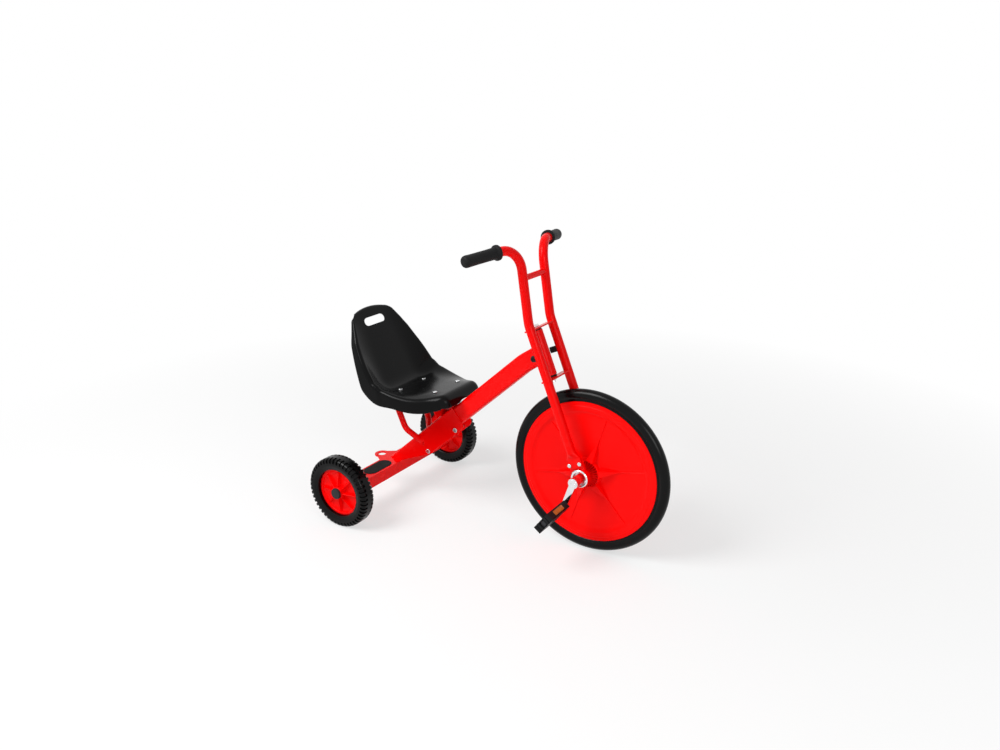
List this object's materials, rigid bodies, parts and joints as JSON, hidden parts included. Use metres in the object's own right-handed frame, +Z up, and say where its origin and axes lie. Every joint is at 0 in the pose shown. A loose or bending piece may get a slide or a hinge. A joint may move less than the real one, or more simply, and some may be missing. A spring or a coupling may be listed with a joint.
{
  "type": "low rider tricycle",
  "caption": "Low rider tricycle with a bucket seat on a sloping beam, a tall steering fork, a pedalled front wheel and a rear step with a tow tab.",
  "frame": {"origin": "on the floor under the middle of the object's box", "axes": "+X forward, +Y to the rider's left, +Z up"},
  "size_m": [0.992, 0.58, 0.8394],
  "materials": {
    "red_paint": "gloss powder coat",
    "wheel_plastic": "moulded gloss",
    "seat_plastic": "satin",
    "tyre": "smooth rubber",
    "black_rubber": "matte",
    "pad_grip": "gritty",
    "black_plastic": "satin",
    "cap_plastic": "satin",
    "pedal_plastic": "satin",
    "amber": "clear prism",
    "chrome": "polished",
    "zinc": "zinc plated"
  },
  "bodies": {
    "frame": {"main_beam": "red_paint", "head_tube": "red_paint", "upper_bush": "black_plastic", "lower_bush": "black_plastic", "rear_bracket": "red_paint", "bracket_bolts": "zinc", "bracket_nuts": "zinc", "cross_channel": "red_paint", "right_step_pad": "pad_grip", "left_step_pad": "pad_grip", "tow_tab": "red_paint", "right_seat_support": "red_paint", "left_seat_support": "red_paint", "seat_bracket": "red_paint", "seat": "seat_plastic", "seat_screws": "zinc", "seat_nuts": "zinc", "rear_axle": "zinc", "axle_collars": "zinc", "axle_clips": "zinc"},
    "steering_unit": {"right_fork_tube": "red_paint", "left_fork_tube": "red_paint", "cross_tube": "red_paint", "upper_yoke": "red_paint", "lower_yoke": "red_paint", "steering_pin": "zinc", "steering_nut": "zinc", "right_grip": "black_rubber", "left_grip": "black_rubber", "right_bumper": "black_rubber", "left_bumper": "black_rubber", "right_bearing_block": "red_paint", "left_bearing_block": "red_paint", "right_bearing": "zinc", "left_bearing": "zinc", "right_bearing_cap": "chrome", "left_bearing_cap": "chrome", "bearing_bolts": "zinc", "bearing_nuts": "zinc"},
    "drive_wheel": {"front_wheel": "wheel_plastic", "front_tyre": "tyre", "crank_axle": "zinc", "right_crank": "chrome", "left_crank": "chrome", "right_crank_spacer": "wheel_plastic", "left_crank_spacer": "wheel_plastic", "right_crank_cap": "chrome", "left_crank_cap": "chrome", "right_pedal_spindle": "zinc", "left_pedal_spindle": "zinc"},
    "right_pedal_unit": {"right_pedal": "pedal_plastic", "right_reflectors": "amber"},
    "left_pedal_unit": {"left_pedal": "pedal_plastic", "left_reflectors": "amber"},
    "right_rear_unit": {"right_rear_wheel": "wheel_plastic", "right_rear_tyre": "tyre", "right_hub_cap": "cap_plastic"},
    "left_rear_unit": {"left_rear_wheel": "wheel_plastic", "left_rear_tyre": "tyre", "left_hub_cap": "cap_plastic"}
  },
  "joints": [
    {"name": "steer", "type": "hinge", "parent": "frame", "child": "steering_unit", "pos_m": [0.11902, 0, 0.53724], "axis": [-0.3778, 0, 0.9259], "range_deg": [-45, 45]},
    {"name": "front_wheel_spin", "type": "hinge", "parent": "steering_unit", "child": "drive_wheel", "pos_m": [0.266, 0, 0.23], "axis": [0, 1, 0], "continuous": true},
    {"name": "right_pedal_spin", "type": "hinge", "parent": "drive_wheel", "child": "right_pedal_unit", "pos_m": [0.23819, -0.1536, 0.15233], "axis": [0, 1, 0], "continuous": true},
    {"name": "left_pedal_spin", "type": "hinge", "parent": "drive_wheel", "child": "left_pedal_unit", "pos_m": [0.29381, 0.1536, 0.30767], "axis": [0, 1, 0], "continuous": true},
    {"name": "right_rear_wheel_spin", "type": "hinge", "parent": "frame", "child": "right_rear_unit", "pos_m": [-0.391, -0.262, 0.105], "axis": [0, 1, 0], "continuous": true},
    {"name": "left_rear_wheel_spin", "type": "hinge", "parent": "frame", "child": "left_rear_unit", "pos_m": [-0.391, 0.262, 0.105], "axis": [0, 1, 0], "continuous": true}
  ]
}
